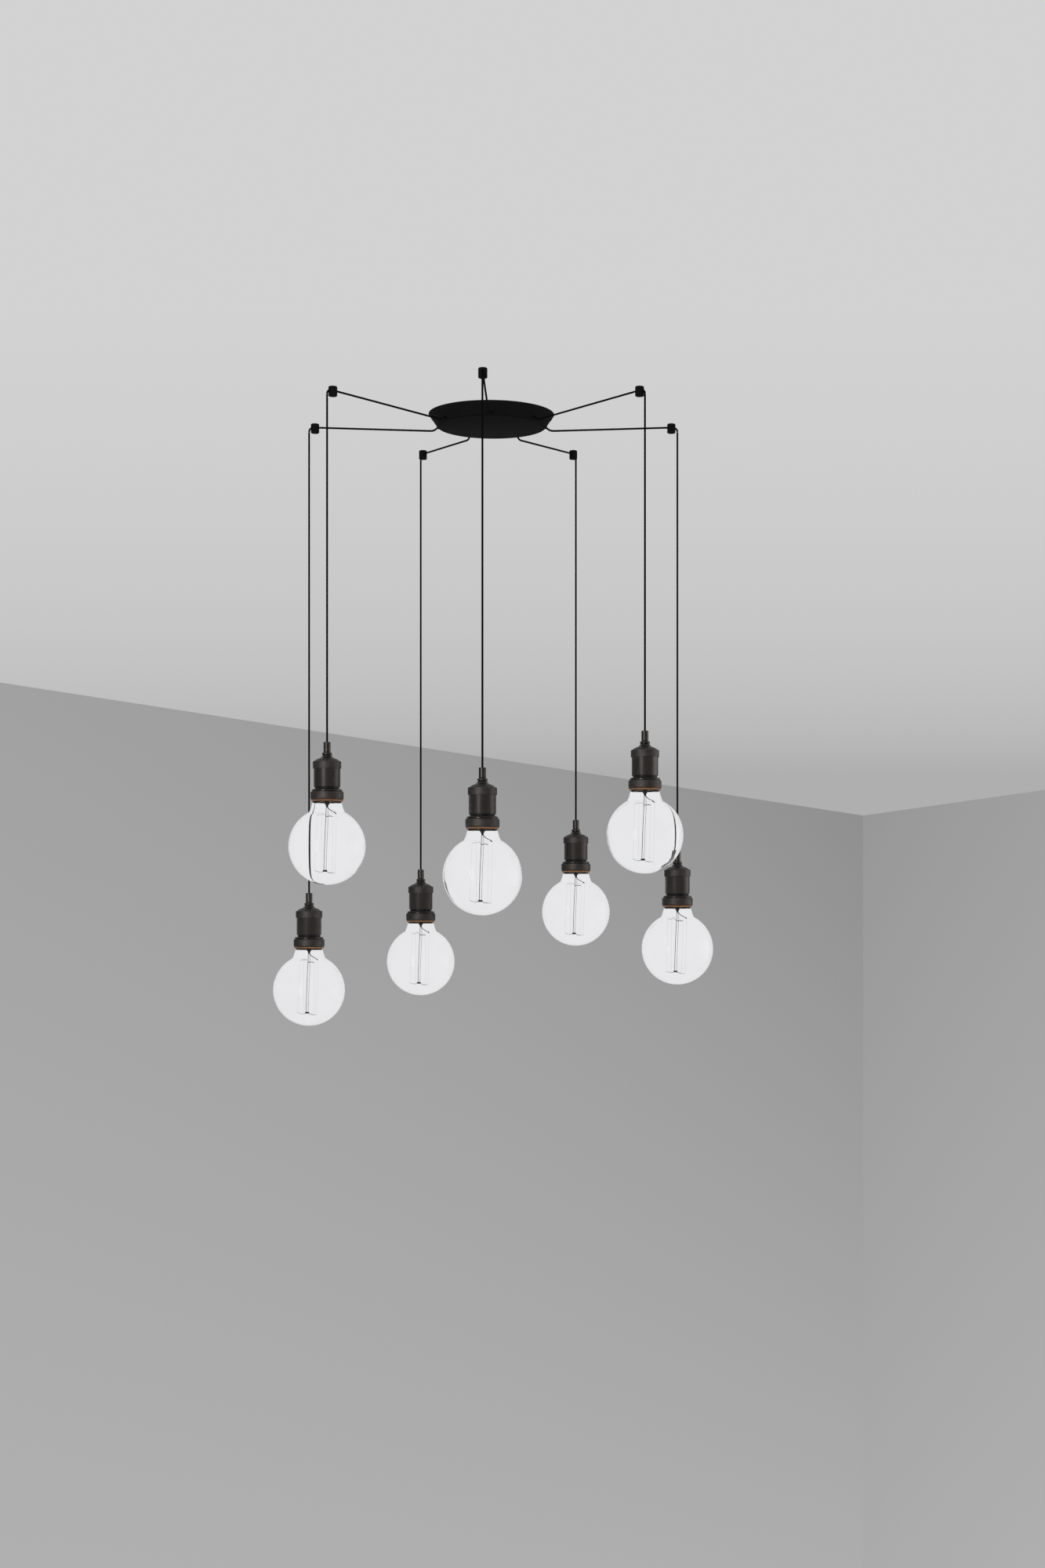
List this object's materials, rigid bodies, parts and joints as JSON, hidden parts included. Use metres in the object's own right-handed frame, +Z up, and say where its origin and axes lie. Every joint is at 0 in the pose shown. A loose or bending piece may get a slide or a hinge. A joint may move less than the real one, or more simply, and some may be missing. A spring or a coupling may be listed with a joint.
{
  "type": "spider chandelier",
  "caption": "Spider chandelier: a shallow round ceiling canopy feeds thin cords led out through ceiling hooks, each cord ending in a metal lampholder with a milky globe bulb.",
  "frame": {"origin": "middle of the ceiling bracket's top face, on the ceiling and on the canopy's centre line", "axes": "+Z up, -Y towards the viewer of the picture, +X to the viewer's right"},
  "size_m": [0.7146, 0.6996, 0.9767],
  "materials": {
    "ceiling_bracket": "zinc plated",
    "canopy_shell": "matte black enamel",
    "canopy_screw": "matte black enamel",
    "terminal_block": "moulded white nylon",
    "ceiling_hook_1": "matte black enamel",
    "ceiling_hook_2": "matte black enamel",
    "ceiling_hook_3": "matte black enamel",
    "ceiling_hook_4": "matte black enamel",
    "ceiling_hook_5": "matte black enamel",
    "ceiling_hook_6": "matte black enamel",
    "ceiling_hook_7": "matte black enamel",
    "feed_cord_1": "matte black sheath",
    "feed_cord_2": "matte black sheath",
    "feed_cord_3": "matte black sheath",
    "feed_cord_4": "matte black sheath",
    "feed_cord_5": "matte black sheath",
    "feed_cord_6": "matte black sheath",
    "feed_cord_7": "matte black sheath",
    "drop_cord_1": "matte black sheath",
    "drop_cord_2": "matte black sheath",
    "drop_cord_3": "matte black sheath",
    "drop_cord_4": "matte black sheath",
    "drop_cord_5": "matte black sheath",
    "drop_cord_6": "matte black sheath",
    "drop_cord_7": "matte black sheath",
    "socket_shell_1": "dark bronze anodised, brushed",
    "socket_shell_2": "dark bronze anodised, brushed",
    "socket_shell_3": "dark bronze anodised, brushed",
    "socket_shell_4": "dark bronze anodised, brushed",
    "socket_shell_5": "dark bronze anodised, brushed",
    "socket_shell_6": "dark bronze anodised, brushed",
    "socket_shell_7": "dark bronze anodised, brushed",
    "socket_insert_1": "moulded black phenolic",
    "socket_insert_2": "moulded black phenolic",
    "socket_insert_3": "moulded black phenolic",
    "socket_insert_4": "moulded black phenolic",
    "socket_insert_5": "moulded black phenolic",
    "socket_insert_6": "moulded black phenolic",
    "socket_insert_7": "moulded black phenolic",
    "shade_ring_1": "dark bronze anodised, knurled",
    "shade_ring_2": "dark bronze anodised, knurled",
    "shade_ring_3": "dark bronze anodised, knurled",
    "shade_ring_4": "dark bronze anodised, knurled",
    "shade_ring_5": "dark bronze anodised, knurled",
    "shade_ring_6": "dark bronze anodised, knurled",
    "shade_ring_7": "dark bronze anodised, knurled",
    "bulb_glass_1": "milky white, glossy",
    "bulb_glass_2": "milky white, glossy",
    "bulb_glass_3": "milky white, glossy",
    "bulb_glass_4": "milky white, glossy",
    "bulb_glass_5": "milky white, glossy",
    "bulb_glass_6": "milky white, glossy",
    "bulb_glass_7": "milky white, glossy",
    "bulb_core_1": "plain cap with dark wire supports",
    "bulb_core_2": "plain cap with dark wire supports",
    "bulb_core_3": "plain cap with dark wire supports",
    "bulb_core_4": "plain cap with dark wire supports",
    "bulb_core_5": "plain cap with dark wire supports",
    "bulb_core_6": "plain cap with dark wire supports",
    "bulb_core_7": "plain cap with dark wire supports"
  },
  "bodies": {
    "canopy": {"ceiling_bracket": "ceiling_bracket", "canopy_shell": "canopy_shell", "canopy_screw": "canopy_screw", "terminal_block": "terminal_block", "ceiling_hook_1": "ceiling_hook_1", "ceiling_hook_2": "ceiling_hook_2", "ceiling_hook_3": "ceiling_hook_3", "ceiling_hook_4": "ceiling_hook_4", "ceiling_hook_5": "ceiling_hook_5", "ceiling_hook_6": "ceiling_hook_6", "ceiling_hook_7": "ceiling_hook_7", "feed_cord_1": "feed_cord_1", "feed_cord_2": "feed_cord_2", "feed_cord_3": "feed_cord_3", "feed_cord_4": "feed_cord_4", "feed_cord_5": "feed_cord_5", "feed_cord_6": "feed_cord_6", "feed_cord_7": "feed_cord_7"},
    "cord_1": {"drop_cord_1": "drop_cord_1"},
    "lamp_1": {"socket_shell_1": "socket_shell_1", "socket_insert_1": "socket_insert_1", "shade_ring_1": "shade_ring_1"},
    "bulb_cap_1": {"bulb_core_1": "bulb_core_1"},
    "bulb_1": {"bulb_glass_1": "bulb_glass_1"},
    "cord_2": {"drop_cord_2": "drop_cord_2"},
    "lamp_2": {"socket_shell_2": "socket_shell_2", "socket_insert_2": "socket_insert_2", "shade_ring_2": "shade_ring_2"},
    "bulb_cap_2": {"bulb_core_2": "bulb_core_2"},
    "bulb_2": {"bulb_glass_2": "bulb_glass_2"},
    "cord_3": {"drop_cord_3": "drop_cord_3"},
    "lamp_3": {"socket_shell_3": "socket_shell_3", "socket_insert_3": "socket_insert_3", "shade_ring_3": "shade_ring_3"},
    "bulb_cap_3": {"bulb_core_3": "bulb_core_3"},
    "bulb_3": {"bulb_glass_3": "bulb_glass_3"},
    "cord_4": {"drop_cord_4": "drop_cord_4"},
    "lamp_4": {"socket_shell_4": "socket_shell_4", "socket_insert_4": "socket_insert_4", "shade_ring_4": "shade_ring_4"},
    "bulb_cap_4": {"bulb_core_4": "bulb_core_4"},
    "bulb_4": {"bulb_glass_4": "bulb_glass_4"},
    "cord_5": {"drop_cord_5": "drop_cord_5"},
    "lamp_5": {"socket_shell_5": "socket_shell_5", "socket_insert_5": "socket_insert_5", "shade_ring_5": "shade_ring_5"},
    "bulb_cap_5": {"bulb_core_5": "bulb_core_5"},
    "bulb_5": {"bulb_glass_5": "bulb_glass_5"},
    "cord_6": {"drop_cord_6": "drop_cord_6"},
    "lamp_6": {"socket_shell_6": "socket_shell_6", "socket_insert_6": "socket_insert_6", "shade_ring_6": "shade_ring_6"},
    "bulb_cap_6": {"bulb_core_6": "bulb_core_6"},
    "bulb_6": {"bulb_glass_6": "bulb_glass_6"},
    "cord_7": {"drop_cord_7": "drop_cord_7"},
    "lamp_7": {"socket_shell_7": "socket_shell_7", "socket_insert_7": "socket_insert_7", "shade_ring_7": "shade_ring_7"},
    "bulb_cap_7": {"bulb_core_7": "bulb_core_7"},
    "bulb_7": {"bulb_glass_7": "bulb_glass_7"}
  },
  "joints": [
    {"name": "swing_1", "type": "hinge", "parent": "canopy", "child": "cord_1", "pos_m": [0, -0.3067, -0.01235], "axis": [-1, 0, 0], "range_deg": [-10, 10]},
    {"name": "height_1", "type": "slide", "parent": "cord_1", "child": "lamp_1", "axis": [0, 0, 1], "range_m": [0, 0.25], "deforming": ["drop_cord_1"]},
    {"name": "bulb_travel_1", "type": "slide", "parent": "lamp_1", "child": "bulb_cap_1", "axis": [0, 0, -1], "range_m": [0, 0.0218]},
    {"name": "bulb_turn_1", "type": "hinge", "parent": "bulb_cap_1", "child": "bulb_1", "pos_m": [0, -0.3067, -0.7], "axis": [0, 0, -1], "range_deg": [0, 2160]},
    {"name": "swing_2", "type": "hinge", "parent": "canopy", "child": "cord_2", "pos_m": [-0.23979, -0.19122, -0.01235], "axis": [-0.6235, 0.7818, 0], "range_deg": [-10, 10]},
    {"name": "height_2", "type": "slide", "parent": "cord_2", "child": "lamp_2", "axis": [0, 0, 1], "range_m": [0, 0.25], "deforming": ["drop_cord_2"]},
    {"name": "bulb_travel_2", "type": "slide", "parent": "lamp_2", "child": "bulb_cap_2", "axis": [0, 0, -1], "range_m": [0, 0.0218]},
    {"name": "bulb_turn_2", "type": "hinge", "parent": "bulb_cap_2", "child": "bulb_2", "pos_m": [-0.23979, -0.19122, -0.7], "axis": [0, 0, -1], "range_deg": [0, 2160]},
    {"name": "swing_3", "type": "hinge", "parent": "canopy", "child": "cord_3", "pos_m": [-0.29901, 0.06825, -0.01235], "axis": [0.2225, 0.9749, 0], "range_deg": [-10, 10]},
    {"name": "height_3", "type": "slide", "parent": "cord_3", "child": "lamp_3", "axis": [0, 0, 1], "range_m": [0, 0.25], "deforming": ["drop_cord_3"]},
    {"name": "bulb_travel_3", "type": "slide", "parent": "lamp_3", "child": "bulb_cap_3", "axis": [0, 0, -1], "range_m": [0, 0.0218]},
    {"name": "bulb_turn_3", "type": "hinge", "parent": "bulb_cap_3", "child": "bulb_3", "pos_m": [-0.29901, 0.06825, -0.7], "axis": [0, 0, -1], "range_deg": [0, 2160]},
    {"name": "swing_4", "type": "hinge", "parent": "canopy", "child": "cord_4", "pos_m": [-0.13307, 0.27633, -0.01235], "axis": [0.901, 0.4339, 0], "range_deg": [-10, 10]},
    {"name": "height_4", "type": "slide", "parent": "cord_4", "child": "lamp_4", "axis": [0, 0, 1], "range_m": [0, 0.25], "deforming": ["drop_cord_4"]},
    {"name": "bulb_travel_4", "type": "slide", "parent": "lamp_4", "child": "bulb_cap_4", "axis": [0, 0, -1], "range_m": [0, 0.0218]},
    {"name": "bulb_turn_4", "type": "hinge", "parent": "bulb_cap_4", "child": "bulb_4", "pos_m": [-0.13307, 0.27633, -0.7], "axis": [0, 0, -1], "range_deg": [0, 2160]},
    {"name": "swing_5", "type": "hinge", "parent": "canopy", "child": "cord_5", "pos_m": [0.13307, 0.27633, -0.01235], "axis": [0.901, -0.4339, 0], "range_deg": [-10, 10]},
    {"name": "height_5", "type": "slide", "parent": "cord_5", "child": "lamp_5", "axis": [0, 0, 1], "range_m": [0, 0.25], "deforming": ["drop_cord_5"]},
    {"name": "bulb_travel_5", "type": "slide", "parent": "lamp_5", "child": "bulb_cap_5", "axis": [0, 0, -1], "range_m": [0, 0.0218]},
    {"name": "bulb_turn_5", "type": "hinge", "parent": "bulb_cap_5", "child": "bulb_5", "pos_m": [0.13307, 0.27633, -0.7], "axis": [0, 0, -1], "range_deg": [0, 2160]},
    {"name": "swing_6", "type": "hinge", "parent": "canopy", "child": "cord_6", "pos_m": [0.29901, 0.06825, -0.01235], "axis": [0.2225, -0.9749, 0], "range_deg": [-10, 10]},
    {"name": "height_6", "type": "slide", "parent": "cord_6", "child": "lamp_6", "axis": [0, 0, 1], "range_m": [0, 0.25], "deforming": ["drop_cord_6"]},
    {"name": "bulb_travel_6", "type": "slide", "parent": "lamp_6", "child": "bulb_cap_6", "axis": [0, 0, -1], "range_m": [0, 0.0218]},
    {"name": "bulb_turn_6", "type": "hinge", "parent": "bulb_cap_6", "child": "bulb_6", "pos_m": [0.29901, 0.06825, -0.7], "axis": [0, 0, -1], "range_deg": [0, 2160]},
    {"name": "swing_7", "type": "hinge", "parent": "canopy", "child": "cord_7", "pos_m": [0.23979, -0.19122, -0.01235], "axis": [-0.6235, -0.7818, 0], "range_deg": [-10, 10]},
    {"name": "height_7", "type": "slide", "parent": "cord_7", "child": "lamp_7", "axis": [0, 0, 1], "range_m": [0, 0.25], "deforming": ["drop_cord_7"]},
    {"name": "bulb_travel_7", "type": "slide", "parent": "lamp_7", "child": "bulb_cap_7", "axis": [0, 0, -1], "range_m": [0, 0.0218]},
    {"name": "bulb_turn_7", "type": "hinge", "parent": "bulb_cap_7", "child": "bulb_7", "pos_m": [0.23979, -0.19122, -0.7], "axis": [0, 0, -1], "range_deg": [0, 2160]}
  ],
  "couplings": [
    {"joint": "bulb_travel_1", "follows": "bulb_turn_1", "m_per_rad": 0.00057758},
    {"joint": "bulb_travel_2", "follows": "bulb_turn_2", "m_per_rad": 0.00057758},
    {"joint": "bulb_travel_3", "follows": "bulb_turn_3", "m_per_rad": 0.00057758},
    {"joint": "bulb_travel_4", "follows": "bulb_turn_4", "m_per_rad": 0.00057758},
    {"joint": "bulb_travel_5", "follows": "bulb_turn_5", "m_per_rad": 0.00057758},
    {"joint": "bulb_travel_6", "follows": "bulb_turn_6", "m_per_rad": 0.00057758},
    {"joint": "bulb_travel_7", "follows": "bulb_turn_7", "m_per_rad": 0.00057758}
  ]
}
